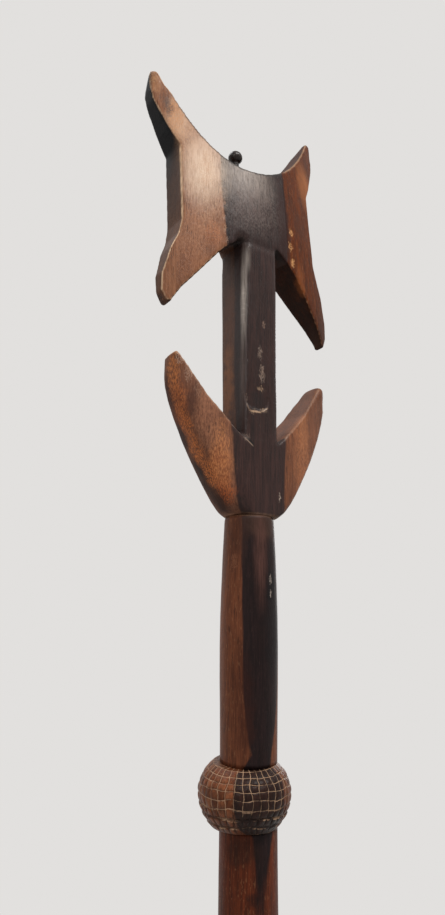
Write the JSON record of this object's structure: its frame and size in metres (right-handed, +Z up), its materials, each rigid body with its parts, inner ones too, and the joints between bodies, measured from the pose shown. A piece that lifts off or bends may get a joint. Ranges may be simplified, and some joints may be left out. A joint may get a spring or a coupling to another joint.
{
  "type": "prestige staff",
  "caption": "Carved two-tone wooden prestige staff: four-horned head on a squarish neck, a two-horned crescent and a ball cut with a grid of cells on a round shaft.",
  "frame": {"origin": "centre of the flat foot of the shaft", "axes": "+Z up along the shaft towards the head, -Y the front of the head, X across the horns"},
  "size_m": [0.1204, 0.0458, 1.048],
  "materials": {
    "heartwood": "dark polished heartwood, brown-black, satin, with fine scratches",
    "sapwood": "brown sapwood, hand-polished, satin, paler where it is worn at the edges",
    "shaft_wood": "red-brown to black streaked wood, satin, polished by handling",
    "grid_wood": "two-tone wood cut with a grid, with pale dust in the grooves",
    "knob_wood": "black glossy wood"
  },
  "bodies": {
    "root": {"lower_shaft": "shaft_wood", "grid_ball": "grid_wood", "upper_shaft": "shaft_wood", "crescent_core": "heartwood", "crescent_horn_left": "sapwood", "crescent_horn_right": "sapwood", "neck": "heartwood", "head_core": "heartwood", "head_horns_left": "sapwood", "head_horns_right": "sapwood", "knob_peg": "knob_wood"}
  },
  "joints": []
}
